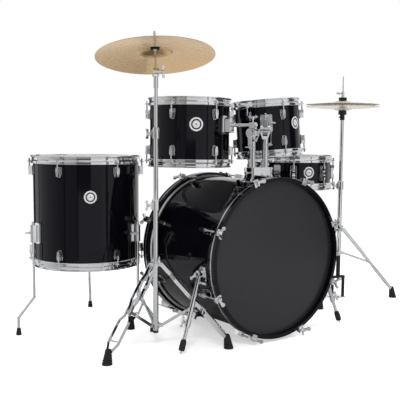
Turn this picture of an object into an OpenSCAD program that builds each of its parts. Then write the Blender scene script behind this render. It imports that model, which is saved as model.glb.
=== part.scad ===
// Five-piece acoustic drum kit with a crash cymbal and a hi-hat.
// +Z is up, the drummer sits on the +Y side, and the bass drum's front head faces -Y.
// The origin is on the floor under the middle of the bass pedal's base plate.

/* [Bass drum] */
// Outside diameter of the bass drum shell
bass_d = 559; // [500:1:610]
// Depth of the bass drum shell
bass_depth = 426; // [380:1:480]
// Thickness of the bass drum shell
bass_wall = 8; // [6:0.5:12]
// Height of the bass drum's axis above the floor
bass_z = 305; // [304:1:320]
// Depth of a bass drum hoop
bass_hoop_depth = 38; // [32:1:48]
// Thickness of a bass drum hoop
bass_hoop_t = 13.5; // [10:0.5:16]
// How far a bass hoop stands past the shell's edge
bass_hoop_over = 20; // [16:1:24]
// Number of claws on each bass hoop
bass_claws_n = 8; // [6:2:10]

/* [Rack toms] */
// Shell diameter of the larger rack tom
tom12_d = 305; // [290:1:312]
// Shell depth of the larger rack tom
tom12_depth = 230; // [205:1:240]
// Shell diameter of the smaller rack tom
tom10_d = 254; // [240:1:262]
// Shell depth of the smaller rack tom
tom10_depth = 197; // [180:1:215]
// Sideways roll of the larger rack tom about its arm
tom12_roll = 0.5; // [-4:0.5:4]
// Sideways roll of the smaller rack tom about its arm
tom10_roll = -4.5; // [-6:0.5:2]

/* [Floor tom] */
// Shell diameter of the floor tom
floor_d = 406; // [390:1:420]
// Shell depth of the floor tom
floor_depth = 392; // [360:1:420]
// Height of the floor tom's lower shell edge above the floor
floor_lift = 261; // [240:1:290]
// Radius of a floor tom leg
floor_leg_r = 5; // [4:0.25:6.5]

/* [Snare drum] */
// Shell diameter of the snare drum
snare_d = 356; // [345:1:362]
// Shell depth of the snare drum
snare_depth = 120; // [105:1:150]
// Height of the snare drum's lower shell edge above the floor
snare_lift = 530; // [505:1:550]

/* [Drum hardware] */
// Thickness of the small drums' shells
shell_wall = 6; // [4:0.5:9]
// How far a steel hoop stands past the shell's edge
rim_over = 15; // [11:0.5:18]
// Sheet thickness of a steel hoop
rim_t = 2.4; // [1.6:0.2:3]
// Radius of a tension rod
rod_r = 2.9; // [2.4:0.1:3.4]
// Distance of a rack tom lug's middle from the shell's edge
lug_inset = 47; // [38:1:56]
// Height of a lug
lug_h = 34; // [26:1:40]
// Width of a lug
lug_w = 20; // [14:1:24]

/* [Tom holder] */
// Radius of a tom post
post_r = 8.5; // [7.5:0.5:11]
// Distance of each post from the holder's middle
post_gap = 30; // [26:1:34]
// Radius of a tom arm
arm_r = 6.3; // [5:0.1:8]
// Height of the larger tom's tilt axis above the floor
tilt12_z = 757; // [745:1:775]
// Height of the smaller tom's tilt axis above the floor
tilt10_z = 766; // [750:1:785]

/* [Crash cymbal stand] */
// Diameter of the crash cymbal
crash_d = 412; // [350:1:460]
// Tilt of the crash cymbal
crash_tilt = 12; // [0:0.5:18]
// Height of the crash tilter's axis above the floor
crash_tilt_z = 962; // [945:1:1005]
// Outer radius of the crash stand's lower tube
crash_lower_r = 9.5; // [9:0.25:12]
// Outer radius of the crash stand's middle tube
crash_middle_r = 7.95; // [7:0.05:8.2]
// Outer radius of the crash stand's upper tube
crash_upper_r = 6.35; // [5:0.05:6.4]
// Radius of the circle that the crash stand's feet stand on
crash_spread = 259; // [235:1:285]

/* [Hi-hat] */
// Diameter of the hi-hat cymbals
hats_d = 330; // [300:1:360]
// Height of the lower hi-hat cymbal's edge above the floor
hats_z = 884; // [860:1:900]
// Gap between the edges of the open hi-hat cymbals
hats_gap = 8; // [7:0.5:16]
// Outer radius of the hi-hat stand's lower tube
hats_tube_r = 9.5; // [9:0.25:12]
// Radius of the hi-hat pull rod
pull_r = 3; // [2.5:0.25:3.5]

/* [Fits] */
// Radial clearance of a shaft that turns or slides in its hole
fit = 0.08; // [0.02:0.01:0.1]
// Gap between pieces that move past each other
gap = 0.5; // [0.35:0.05:0.8]
// Sheet thickness of a drum head
head_t = 1; // [0.8:0.1:1.4]
// Sheet thickness of a cymbal
cymbal_t = 1.4; // [1.1:0.1:2]

/* [Hidden] */
$fn = 48;

chrome_c = [0.78, 0.79, 0.81];
black_c = [0.09, 0.09, 0.1];
rubber_c = [0.05, 0.05, 0.05];
shell_c = [0.1, 0.1, 0.12];
bronze_c = [0.76, 0.63, 0.42];
head_c = [0.9, 0.9, 0.88];

// Places of the units on the floor
pedal_reach = 130;      // from the pedal's middle to the batter hoop
tom12_pos = [-140, -223];
tom10_pos = [190, -297];
snare_pos = [499, -99];
crash_pos = [-404, -402];
hats_pos = [724, -194];
holder_y = -471;        // place of the tom holder's block along the bass drum

// Bass drum
bass_r = bass_d / 2;
floor_tuck = 21.5;      // how far the floor tom's side reaches in past the bass drum's
floor_pos = [-(bass_r + floor_d / 2 - floor_tuck), 19];
bass_rear_y = -pedal_reach - bass_hoop_over;
bass_front_y = bass_rear_y - bass_depth;
bass_lug_inset = 62;    // middle of a bass lug from the shell's edge
claw_phase = 180 / bass_claws_n;

bass_hoop_in = bass_r + 0.3 + head_t + 0.4;
bass_hoop_out = bass_hoop_in + bass_hoop_t;
claw_reach = bass_hoop_out - bass_r + 7.5;      // from the shell to a T-rod's axis
t_rod_r = 3.2;

// Spurs
spur_r = 6;
spur_lean = 20;         // outwards
spur_forward = 5;
spur_stand = 14;        // from the shell's side to the spur's pivot
spur_y = bass_front_y + 67;
spur_drop = 41;         // pivot below the drum's axis
function spur_pivot(side) = [side * (sqrt(bass_r * bass_r - spur_drop * spur_drop) + spur_stand),
    spur_y, bass_z - spur_drop];
spur_len = (bass_z - spur_drop) / cos(spur_lean) / cos(spur_forward);

// Drum head and hoop sections, shared by all the drums
head_drop = 10;         // from the bearing edge down to the flesh ring
ring_w = 4.5;           // flesh ring, across
ring_h = 5;             // flesh ring, along the shell
head_fit = 0.3;         // between the shell and the head's collar
ear_reach = 13;         // from the shell to a tension rod's axis
ear_w = 17;
ear_t = 3;
function hoop_lip(r) = r + head_fit + ring_w + 4;   // outer radius of a steel hoop's lip

// Tom heights
holder_top = bass_z + bass_r + 46;
arm_rise = 28;          // from a tilt axis up to the arm's axis
tom12_arm_z = tilt12_z + arm_rise;
tom10_arm_z = tilt10_z + arm_rise;
tom12_bottom = tom12_arm_z - 143;   // the arm meets each tom this far above its lower edge
tom10_bottom = tom10_arm_z - 117;
post12 = [-post_gap, holder_y];
post10 = [post_gap, holder_y];
arm12_dir = tom12_pos - post12;
arm10_dir = tom10_pos - post10;
arm12_az = atan2(arm12_dir[1], arm12_dir[0]);
arm10_az = atan2(arm10_dir[1], arm10_dir[0]);
arm12_len = norm(arm12_dir) - tom12_d / 2 - 7;
arm10_len = norm(arm10_dir) - tom10_d / 2 - 7;
head_half = 9;          // half the thickness of an arm's head
yoke_out = 18;          // half the width of a tilter's yoke
tilt_pin_r = 4;
socket_depth = 32;      // how far a tom's bracket stands off the shell
tom12_phase = 31.6;
tom10_phase = 16.6;
floor_phase = 35.1;
snare_phase = -128.2;
strainer_az = snare_phase + 157.5;

// Floor tom legs
leg_phase = 61.5;       // direction of the rear leg
floor_lug_inset = 42;
leg_gap = 22;           // from the shell to a leg's axis
leg_crank = 64;         // how far the foot stands outside the straight part
crank_top = 135;        // heights of the two bends
crank_low = 64;
tip_h = 26;
leg_bracket_z = 116;    // above the lower shell edge

// Crash stand
crash_az = 69;          // the cymbal leans towards this direction
crash_phase = 200.5;    // direction of the first leg
function crash_dir(i) = crash_phase + 120 * i;
crash_dirs = [for (i = [0:2]) crash_dir(i)];
collar_z = 297;         // upper tripod pivot
foot_z = 30;            // lower end of a leg's rails
brace_z = 77;           // lower tripod pivot
pivot_r = 20;           // tripod pivots from the tube's axis
pin_r = 2.4;
rivet_share = 0.53;     // place of the brace's pivot along a leg
crash_low_top = 516;    // tops of the lower and middle tubes
crash_mid_top = 764;
crash_seat = 87;        // from the tilt axis up to the cymbal's seat
crash_bow = 16;         // rise of the bow and of the bell
crash_bell = 20;
rail_in = 8;            // half the space between a leg's rails
rail_t = 2.5;
rail_w = 13;
leg_bow = 12;           // how far a leg's rails bow apart below the rivet
foot_lean = 9;
brace_t = 5;
brace_w = 10;

// Stand tubes
stand_r = 9.5;
stand_mid_r = 7.95;
tube_overlap = 150;     // how far one tube reaches down into the next
rod_bore = pull_r + 1.5;

// Snare stand
snare_leg_dirs = [100, -20, -140];
snare_spread = 172;
snare_collar_z = 225;
snare_brace_z = 70;
snare_tube_top = 330;
basket_z = 449;
basket_phase = snare_phase + 22.5;

// Hi-hat
hats_leg_dirs = [-33, -153];
hats_pedal_dir = 80;
hats_spread = 262;
hats_top_tube = 537;
hats_collar_z = 321;
hats_brace_z = 211;
hats_bow = 8;
hats_bell = 10;
hats_seat_z = hats_z - hats_bow - hats_bell - cymbal_t;
hats_rod_top = 1020;
rod_end = 40;           // slim end of the pull rod
rod_end_r = pull_r - 0.4;
hats_pedal_len = 255;
hats_heel_z = 14;
hats_toe_z = 62;

// Bass pedal
pedal_half = 138;       // half the base plate's length
axle_y = -82;
axle_z = 190;
beater_len = 130;
beater_back = 38;       // lean of the beater at rest
pedal_heel_y = 100;
pedal_heel_z = 14;
pedal_toe_y = -125;
pedal_toe_z = 70;

// ---------------------------------------------------------------- helpers

module tube(h, ro, ri) {
    difference() {
        cylinder(h = h, r = ro);
        translate([0, 0, -1]) cylinder(h = h + 2, r = ri);
    }
}

// A round bar from point p to point q
module bar(p, q, r) {
    v = q - p;
    translate(p)
        rotate([0, acos(v[2] / norm(v)), atan2(v[1], v[0])])
            cylinder(h = norm(v), r = r);
}

// Children on a drum's wall: x points outwards, y runs round the shell
module on_wall(a, r, z) {
    rotate([0, 0, a]) translate([r, 0, z]) children();
}

// Flat outline stood on a wall: outline x runs round the shell and outline y runs up
module raised(t) {
    rotate([90, 0, 90]) linear_extrude(t) children();
}

module rounded_rect(w, h, r) {
    square([w - 2 * r, h], center = true);
    square([w, h - 2 * r], center = true);
    for (x = [-1, 1], y = [-1, 1])
        translate([x * (w / 2 - r), y * (h / 2 - r)]) circle(r = r, $fn = 24);
}

// A wing screw along +Z with its tip at the origin
module wing_screw(len, r = 3, span = 15) {
    cylinder(h = len, r = r);
    translate([0, 0, len - 4]) cylinder(h = 10, r = r + 2.5);
    for (s = [-1, 1])
        translate([0, 0, len + 1]) rotate([90, 0, 0]) translate([0, 0, -2])
            linear_extrude(4) {
                translate([s * span / 2, 3]) square([span, 7], center = true);
                translate([s * span, 4.5]) circle(r = 5, $fn = 24);
            }
}

// Profile of a dished plate: a bow from the rim up to the bell and a domed bell
module cymbal_section(r, bell_r, bow, bell, hole) {
    bow_pts = [for (i = [0:8]) let (q = i / 8, x = r + (bell_r - r) * q) [x, bow * sin(90 * q)]];
    last = acos(hole / bell_r * cos(20));
    bell_pts = [for (i = [1:6]) let (a = 20 + (last - 20) * i / 6)
        [bell_r * cos(a) / cos(20), bow + bell * (sin(a) - sin(20)) / (1 - sin(20))]];
    lower = concat(bow_pts, bell_pts);
    n = len(lower);
    polygon(concat(lower, [for (i = [n - 1:-1:0]) lower[i] + [0, cymbal_t]]));
}

// ---------------------------------------------------------------- drums
// Each drum stands with its lower shell edge at z = 0.

module drum_shell(r, depth, wall) {
    bevel = wall - 3;
    rotate_extrude($fn = 96)
        polygon([
            [r - wall, bevel], [r - wall + bevel, 0], [r, 0], [r, depth],
            [r - wall + bevel, depth], [r - wall, depth - bevel]
        ]);
}

// One head: film over the edge, collar down the shell and flesh ring; z = 0 is the shell's edge
module drum_head(r, drop = head_drop) {
    inner = r + head_fit;
    rotate_extrude($fn = 96)
        polygon([
            [0, 0], [inner, 0], [inner, -drop - ring_h], [inner + ring_w, -drop - ring_h],
            [inner + ring_w, -drop], [inner + head_t, -drop], [inner + head_t, head_t], [0, head_t]
        ]);
}

// Puts children on the top edge, and mirrored on the bottom edge
module both_edges(depth) {
    translate([0, 0, depth]) children();
    mirror([0, 0, 1]) children();
}

// Triple-flanged steel hoop: a skirt over the flesh ring, a wall and a lip turned outwards,
// with an ear for each tension rod. z = 0 is the shell's edge.
module steel_hoop(r, n, phase) {
    inner = r + head_fit + head_t + 0.4;
    base = -head_drop;
    skirt = r + head_fit + ring_w + 1;
    wall = inner + rim_t;
    lip = hoop_lip(r);
    rotate_extrude($fn = 96)
        polygon([
            [inner, base], [skirt, base], [skirt, base - 4], [skirt + rim_t, base - 4],
            [skirt + rim_t, base + ear_t + 1.5], [wall + 1, base + ear_t + 5],
            [wall, base + ear_t + 7.5], [wall, rim_over - 7], [lip - 1.5, rim_over - 4],
            [lip, rim_over - 2.8], [lip, rim_over - 1.2], [lip - 1.2, rim_over],
            [inner + 2, rim_over - 0.6], [inner, rim_over - 3.5]
        ]);
    translate([0, 0, base]) linear_extrude(ear_t)
        for (i = [0:n - 1])
            rotate(phase + i * 360 / n) difference() {
                union() {
                    translate([skirt + 1.2, -ear_w / 2]) square([r + ear_reach - skirt - 1.2, ear_w]);
                    translate([r + ear_reach, 0]) circle(r = ear_w / 2);
                }
                translate([r + ear_reach, 0]) circle(r = rod_r + 0.5);
            }
}

// Tension rod with its square head and washer, from the ear down to depth d below the edge
module tension_rod(d) {
    seat = -head_drop + ear_t;
    translate([0, 0, -d]) cylinder(h = d + seat, r = rod_r);
    translate([0, 0, seat]) cylinder(h = 1.6, r = rod_r + 1.6);
    translate([-3.2, -3.2, seat + 1.6]) cube([6.4, 6.4, 8]);
}

module lug_shield(w, h) {
    polygon([
        [-w / 2, h / 2], [w / 2, h / 2], [w / 2, -h * 0.15],
        [w * 0.3, -h / 2 - 3], [-w * 0.3, -h / 2 - 3], [-w / 2, -h * 0.15]
    ]);
}

// Cast lug: shield-shaped base with a raised rim on the shell, raised body, bore for the tension rod
module lug(reach = ear_reach, w = lug_w, h = lug_h, rod = rod_r) {
    difference() {
        union() {
            difference() {
                raised(3.2) lug_shield(w, h);
                translate([1.6, 0, 0]) raised(4) lug_shield(w - 3.4, h - 3.4);
            }
            raised(reach + 4) polygon([
                [-w * 0.28, h / 2 - 2], [w * 0.28, h / 2 - 2], [w * 0.34, h * 0.1],
                [w * 0.2, -h / 2], [-w * 0.2, -h / 2], [-w * 0.34, h * 0.1]
            ]);
            translate([reach, 0, h / 2 - 14]) cylinder(h = 13, r = rod + 2.6);
        }
        translate([reach, 0, h / 2 - 18]) cylinder(h = 40, r = rod + 0.15);
    }
}

// All lugs and rods of one drum
module drum_lugs(r, depth, n, phase, inset) {
    rod_len = inset - lug_h / 2 + 10;
    for (i = [0:n - 1]) {
        a = phase + i * 360 / n;
        on_wall(a, r, depth - inset) lug();
        on_wall(a, r, inset) mirror([0, 0, 1]) lug();
        both_edges(depth)
            rotate([0, 0, a]) translate([r + ear_reach, 0, 0]) tension_rod(rod_len);
    }
}

// ---------------------------------------------------------------- bass drum

module bass_frame() {
    translate([0, bass_rear_y, bass_z]) rotate([90, 0, 0]) children();
}

module bass_shell() {
    color(shell_c)
        difference() {
            bass_frame() drum_shell(bass_r, bass_depth, bass_wall);
            for (x = [-post_gap, post_gap])
                translate([x, holder_y, bass_z]) cylinder(h = bass_r + 5, r = post_r + 2);
        }
}

module bass_heads() {
    color(head_c)
        bass_frame() both_edges(bass_depth)
            drum_head(bass_r, bass_hoop_depth - bass_hoop_over);
}

module bass_hoop() {
    low = bass_hoop_over - bass_hoop_depth;
    edge = 1.5;
    rotate_extrude($fn = 96)
        polygon([
            [bass_hoop_in, low], [bass_hoop_out - edge, low], [bass_hoop_out, low + edge],
            [bass_hoop_out, bass_hoop_over - edge], [bass_hoop_out - edge, bass_hoop_over],
            [bass_hoop_in, bass_hoop_over]
        ]);
}

module bass_hoops() {
    color(black_c) bass_frame() both_edges(bass_depth) bass_hoop();
}

// Cast plate that carries a spur on the shell
module spur_bracket(side) {
    translate(spur_pivot(side)) {
        difference() {
            translate([-side * (spur_stand + 20), 0, 0]) rotate([90, 0, side * 90])
                linear_extrude(spur_stand + 20 - 9.5) difference() {
                    polygon([[-29, -36], [31, -36], [31, -30], [17, 30], [-12, 30], [-29, -22]]);
                    polygon([[-16, -28], [20, -28], [14, -12], [-14, -12]]);
                }
            translate(-spur_pivot(side)) bass_frame()
                translate([0, 0, -1]) cylinder(h = bass_depth + 2, r = bass_r + 0.02, $fn = 96);
        }
        rotate([0, side * 90, 0]) translate([0, 0, -10]) {
            cylinder(h = 22, r = 5);
            translate([0, 0, 22]) cylinder(h = 8, r = 8);
            translate([0, 0, 23.5]) rotate(90 - side * 30) linear_extrude(5) {
                translate([0, -4]) square([32, 8]);
                translate([32, 0]) circle(r = 6, $fn = 32);
            }
        }
    }
}

module bass_lugs() {
    color(chrome_c) {
        for (i = [0:bass_claws_n - 1]) {
            a = claw_phase + i * 360 / bass_claws_n;
            bass_frame() {
                on_wall(a, bass_r, bass_depth - bass_lug_inset) lug(claw_reach, 26, 44, t_rod_r);
                on_wall(a, bass_r, bass_lug_inset) mirror([0, 0, 1]) lug(claw_reach, 26, 44, t_rod_r);
            }
        }
        for (side = [-1, 1]) spur_bracket(side);
    }
}

// Claw hook over the hoop with its T-handled rod; x points outwards and z = 0 is the shell's edge
module claw() {
    rod_at = bass_r + claw_reach;
    top = bass_hoop_over;
    difference() {
        translate([0, 11, 0]) rotate([90, 0, 0]) linear_extrude(22) polygon([
            [bass_hoop_out - 11, top], [bass_hoop_out - 9, top + 4], [rod_at + 5, top + 4],
            [rod_at + 8, top], [rod_at + 6, top - 12], [bass_hoop_out + 4, top - 20],
            [bass_hoop_out + 0.1, top - 24], [bass_hoop_out + 0.1, top]
        ]);
        translate([rod_at, 0, top - 30]) cylinder(h = 40, r = t_rod_r + 0.4);
    }
    translate([rod_at, 0, 0]) {
        translate([0, 0, -bass_lug_inset + 4]) cylinder(h = bass_lug_inset + top + 8, r = t_rod_r);
        translate([0, 0, top + 4]) cylinder(h = 6, r = t_rod_r + 3);
        translate([0, 0, top + 9]) cylinder(h = 7, r = t_rod_r + 2);
        // two paddles swept forwards
        for (s = [-1, 1])
            translate([0, s * 2, top + 10]) rotate([-s * 42, 0, 0]) rotate([90, 0, 0])
                translate([0, 0, -2.5]) linear_extrude(5) {
                    translate([-4.5, 0]) square([9, 20]);
                    translate([0, 21]) circle(r = 7.2, $fn = 32);
                }
    }
}

module bass_claws() {
    color(chrome_c)
        bass_frame() both_edges(bass_depth)
            for (i = [0:bass_claws_n - 1])
                rotate([0, 0, claw_phase + i * 360 / bass_claws_n]) claw();
}

// A spur's own frame: origin on its pivot, -Z down the leg
module spur_frame(side) {
    translate(spur_pivot(side)) rotate([-spur_forward, -side * spur_lean, 0]) children();
}

// Outer sleeve that swings on the bracket
module spur_sleeve(side) {
    color(chrome_c)
        difference() {
            union() {
                translate(spur_pivot(side)) rotate([0, side * 90, 0])
                    translate([0, 0, -9]) cylinder(h = 18, r = 14);
                spur_frame(side) {
                    translate([0, 0, -spur_len * 0.66]) cylinder(h = spur_len * 0.66 - 10, r = spur_r + 2);
                    translate([0, 0, -spur_len * 0.66]) cylinder(h = 26, r = spur_r + 4);
                    translate([0, 0, -spur_len * 0.66 + 13]) rotate([0, side * 90, 0])
                        translate([0, 0, spur_r + 1]) wing_screw(12);
                }
            }
            translate(spur_pivot(side)) rotate([0, side * 90, 0])
                translate([0, 0, -20]) cylinder(h = 40, r = 5 + fit);
            spur_frame(side) translate([0, 0, -spur_len]) cylinder(h = spur_len - 22, r = spur_r + fit);
        }
}

// Inner leg with rubber foot and spike
module spur_leg(side) {
    spur_frame(side) {
        color(chrome_c) translate([0, 0, -spur_len + 30]) cylinder(h = spur_len * 0.6, r = spur_r);
        color(rubber_c) translate([0, 0, -spur_len]) rotate_extrude()
            polygon([[0, 3], [2, 3], [2.6, 12], [9, 12], [11, 18], [10.5, 44], [8, 52], [0, 52]]);
    }
}

module spur_left_sleeve() { spur_sleeve(-1); }
module spur_left_leg() { spur_leg(-1); }
module spur_right_sleeve() { spur_sleeve(1); }
module spur_right_leg() { spur_leg(1); }

// ---------------------------------------------------------------- tom holder

module tom_mount_block() {
    color(chrome_c)
        difference() {
            union() {
                translate([0, holder_y, holder_top - 70])
                    linear_extrude(70) rounded_rect(2 * post_gap + 32, 50, 9);
                translate([0, holder_y, bass_z + bass_r - 12])
                    linear_extrude(18) rounded_rect(2 * post_gap + 52, 64, 12);
                for (s = [-1, 1])
                    translate([s * (post_gap + 15), holder_y, holder_top - 20])
                        rotate([0, s * 90, 0]) wing_screw(12);
            }
            for (x = [-post_gap, post_gap])
                translate([x, holder_y, bass_z]) cylinder(h = 2 * bass_r, r = post_r + fit);
            bass_frame() translate([0, 0, -1])
                cylinder(h = bass_depth + 2, r = bass_r + 0.02, $fn = 96);
        }
}

// Post that slides in the block, with its memory collar
module tom_post(place, tilt_z) {
    low = bass_z + bass_r - 110;
    top = tilt_z - 28 - gap;
    color(chrome_c) translate([place[0], place[1], 0]) {
        translate([0, 0, low]) cylinder(h = top - low, r = post_r);
        translate([0, 0, holder_top + 0.3]) difference() {
            cylinder(h = 24, r = post_r + 4.5);
            translate([0, 0, 18]) tube(3, post_r + 6, post_r + 3.5);
        }
        translate([0, 0, holder_top + 12]) rotate([0, 90, place[0] > 0 ? -90 : 0])
            translate([0, 0, post_r + 3]) cylinder(h = 9, r = 3.5);
    }
}

// Frame of a tilter: origin on the tilt axis, x towards the tom, y along the axis
module tilt_frame(place, tilt_z, az) {
    translate([place[0], place[1], tilt_z]) rotate([0, 0, az]) children();
}

// Fork that swivels on the post and holds the tilt pin; its screws point away from the other post
module tom_tilter(place, tilt_z, az) {
    color(chrome_c) tilt_frame(place, tilt_z, az) mirror([0, place[0] > 0 ? 0 : 1, 0]) {
        difference() {
            union() {
                translate([0, 0, -64]) cylinder(h = 38, r = post_r + 2.6);
                intersection() {
                    translate([-25, 0, 0]) rotate([90, 0, 90]) linear_extrude(50) difference() {
                        polygon([
                            [-post_r - 1, -32], [post_r + 1, -32], [yoke_out, -8], [yoke_out, 14],
                            [yoke_out - 3, 20], [-yoke_out + 3, 20], [-yoke_out, 14], [-yoke_out, -8]
                        ]);
                        translate([-head_half - gap, -20]) square([2 * (head_half + gap), 50]);
                    }
                    rotate([90, 0, 0]) translate([0, 0, -25]) linear_extrude(50) {
                        circle(r = 19);
                        polygon([[-19, 0], [19, 0], [11, -34], [-11, -34]]);
                    }
                }
            }
            translate([0, 0, -70]) cylinder(h = 42, r = post_r + fit);
        }
        rotate([90, 0, 0]) {
            translate([0, 0, -yoke_out + 1]) cylinder(h = 2 * yoke_out - 2, r = tilt_pin_r);
            translate([0, 0, -yoke_out - 3]) cylinder(h = 5, r = 8);
            translate([0, 0, -yoke_out - 5]) cylinder(h = 4, r = 5.5, $fn = 6);
            translate([0, 0, yoke_out - 2]) cylinder(h = 9, r = 6.5);
            // tilt lever
            translate([0, 0, yoke_out + 2]) linear_extrude(4) difference() {
                union() {
                    circle(r = 10);
                    translate([-6.5, -42]) square([13, 50]);
                    translate([0, -42]) circle(r = 6.5);
                    translate([0, 8]) circle(r = 6.5);
                }
                for (y = [-42, -28]) translate([0, y]) circle(r = 2.6);
            }
        }
        translate([0, 0, -52]) rotate([90, 0, 0]) translate([0, 0, post_r + 1.5]) wing_screw(6);
    }
}

// Arm head between the fork's cheeks, with the rod that the tom hangs on
module tom_arm(place, tilt_z, az, len) {
    color(chrome_c) tilt_frame(place, tilt_z, az) {
        difference() {
            rotate([90, 0, 0]) translate([0, 0, -head_half]) linear_extrude(2 * head_half) {
                circle(r = 16.5);
                translate([-11, 0]) square([22, arm_rise + arm_r + 4]);
            }
            rotate([90, 0, 0]) translate([0, 0, -30]) cylinder(h = 60, r = tilt_pin_r + fit);
        }
        translate([-16, 0, arm_rise]) rotate([0, 90, 0]) cylinder(h = len + 16, r = arm_r);
        translate([0, 0, arm_rise + arm_r + 3]) wing_screw(16, 3, 13);
    }
}

module left_post() { tom_post(post12, tilt12_z); }
module right_post() { tom_post(post10, tilt10_z); }
module left_tilter() { tom_tilter(post12, tilt12_z, arm12_az); }
module right_tilter() { tom_tilter(post10, tilt10_z, arm10_az); }
module left_arm() { tom_arm(post12, tilt12_z, arm12_az, arm12_len); }
module right_arm() { tom_arm(post10, tilt10_z, arm10_az, arm10_len); }

// ---------------------------------------------------------------- rack toms

// A tom's own frame, rolled about its arm; z = 0 is the lower shell edge
module tom_frame(pos, arm_z, bottom, az, roll) {
    translate([pos[0], pos[1], arm_z])
        rotate([0, 0, az]) rotate([roll, 0, 0]) rotate([0, 0, -az])
            translate([0, 0, bottom - arm_z]) children();
}

module in_tom12() { tom_frame(tom12_pos, tom12_arm_z, tom12_bottom, arm12_az, tom12_roll) children(); }
module in_tom10() { tom_frame(tom10_pos, tom10_arm_z, tom10_bottom, arm10_az, tom10_roll) children(); }

// Cast socket for the arm; height is the arm's height above the lower shell edge
module tom_bracket(r, height, az) {
    difference() {
        rotate([0, 0, az + 180]) union() {
            translate([r - 4, 0, height]) rotate([90, 0, 90])
                linear_extrude(4 + socket_depth) rounded_rect(34, 56, 6);
            translate([r - 4, 0, height]) rotate([90, 0, 90])
                linear_extrude(9) rounded_rect(46, 70, 6);
            translate([r + socket_depth - 9, 16, height]) rotate([-90, 0, 0]) wing_screw(10);
        }
        translate([0, 0, -1]) cylinder(h = 2 * height, r = r + 0.02, $fn = 96);
        rotate([0, 0, az + 180]) translate([r + 5, 0, height]) rotate([0, 90, 0])
            cylinder(h = 2 * socket_depth, r = arm_r + fit);
    }
}

module tom12_shell() { color(shell_c) in_tom12() drum_shell(tom12_d / 2, tom12_depth, shell_wall); }
module tom10_shell() { color(shell_c) in_tom10() drum_shell(tom10_d / 2, tom10_depth, shell_wall); }
module tom12_heads() { color(head_c) in_tom12() both_edges(tom12_depth) drum_head(tom12_d / 2); }
module tom10_heads() { color(head_c) in_tom10() both_edges(tom10_depth) drum_head(tom10_d / 2); }

module tom12_hoops() {
    color(chrome_c) in_tom12() both_edges(tom12_depth) steel_hoop(tom12_d / 2, 6, tom12_phase);
}

module tom10_hoops() {
    color(chrome_c) in_tom10() both_edges(tom10_depth) steel_hoop(tom10_d / 2, 6, tom10_phase);
}

module tom12_lugs() {
    color(chrome_c) in_tom12() {
        drum_lugs(tom12_d / 2, tom12_depth, 6, tom12_phase, lug_inset);
        tom_bracket(tom12_d / 2, tom12_arm_z - tom12_bottom, arm12_az);
    }
}

module tom10_lugs() {
    color(chrome_c) in_tom10() {
        drum_lugs(tom10_d / 2, tom10_depth, 6, tom10_phase, lug_inset);
        tom_bracket(tom10_d / 2, tom10_arm_z - tom10_bottom, arm10_az);
    }
}

// ---------------------------------------------------------------- floor tom

module in_floor_tom() { translate([floor_pos[0], floor_pos[1], floor_lift]) children(); }

module floor_tom_shell() { color(shell_c) in_floor_tom() drum_shell(floor_d / 2, floor_depth, shell_wall); }
module floor_tom_heads() { color(head_c) in_floor_tom() both_edges(floor_depth) drum_head(floor_d / 2); }

module floor_tom_hoops() {
    color(chrome_c) in_floor_tom() both_edges(floor_depth) steel_hoop(floor_d / 2, 6, floor_phase);
}

// Bracket that clamps one leg to the shell
module leg_bracket(a) {
    r = floor_d / 2;
    difference() {
        on_wall(a, r, leg_bracket_z) union() {
            translate([-4, 0, 0]) rotate([90, 0, 90]) linear_extrude(10) rounded_rect(38, 78, 7);
            translate([0, 0, -32]) linear_extrude(64) translate([leg_gap / 2, 0])
                square([leg_gap, 20], center = true);
            translate([leg_gap, 0, -32]) cylinder(h = 64, r = floor_leg_r + 5);
            translate([leg_gap, -floor_leg_r - 3, 0]) rotate([90, 0, 0]) wing_screw(12);
        }
        cylinder(h = floor_depth, r = r + 0.02, $fn = 96);
        on_wall(a, r, leg_bracket_z - 40) translate([leg_gap, 0, 0])
            cylinder(h = 80, r = floor_leg_r + fit);
    }
}

module floor_tom_lugs() {
    color(chrome_c) in_floor_tom() {
        drum_lugs(floor_d / 2, floor_depth, 6, floor_phase, floor_lug_inset);
        for (i = [0:2]) leg_bracket(leg_phase + 120 * i);
    }
}

// Cranked leg with its rubber tip
module floor_tom_leg(i) {
    r = floor_d / 2 + leg_gap;
    top = floor_lift + leg_bracket_z + 44;
    translate([floor_pos[0], floor_pos[1], 0]) rotate([0, 0, leg_phase + 120 * i]) {
        color(chrome_c) {
            translate([r, 0, crank_top]) cylinder(h = top - crank_top, r = floor_leg_r);
            bar([r, 0, crank_top], [r + leg_crank, 0, crank_low], floor_leg_r);
            translate([r + leg_crank, 0, tip_h - 10])
                cylinder(h = crank_low - tip_h + 10, r = floor_leg_r);
            // the bends are forged a little thicker than the rod
            translate([r, 0, crank_top]) sphere(r = floor_leg_r + 0.6);
            translate([r + leg_crank, 0, crank_low]) sphere(r = floor_leg_r + 0.6);
        }
        color(rubber_c) translate([r + leg_crank, 0, 0]) rotate_extrude()
            polygon([[0, 0], [10, 0], [10, 5], [floor_leg_r + 2, tip_h], [0, tip_h]]);
    }
}

module floor_tom_leg_1() { floor_tom_leg(0); }
module floor_tom_leg_2() { floor_tom_leg(1); }
module floor_tom_leg_3() { floor_tom_leg(2); }

// ---------------------------------------------------------------- snare drum

module in_snare() { translate([snare_pos[0], snare_pos[1], snare_lift]) children(); }

module snare_shell() { color(shell_c) in_snare() drum_shell(snare_d / 2, snare_depth, shell_wall); }
module snare_heads() { color(head_c) in_snare() both_edges(snare_depth) drum_head(snare_d / 2); }

module snare_hoops() {
    color(chrome_c) in_snare() both_edges(snare_depth) steel_hoop(snare_d / 2, 8, snare_phase);
}

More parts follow.
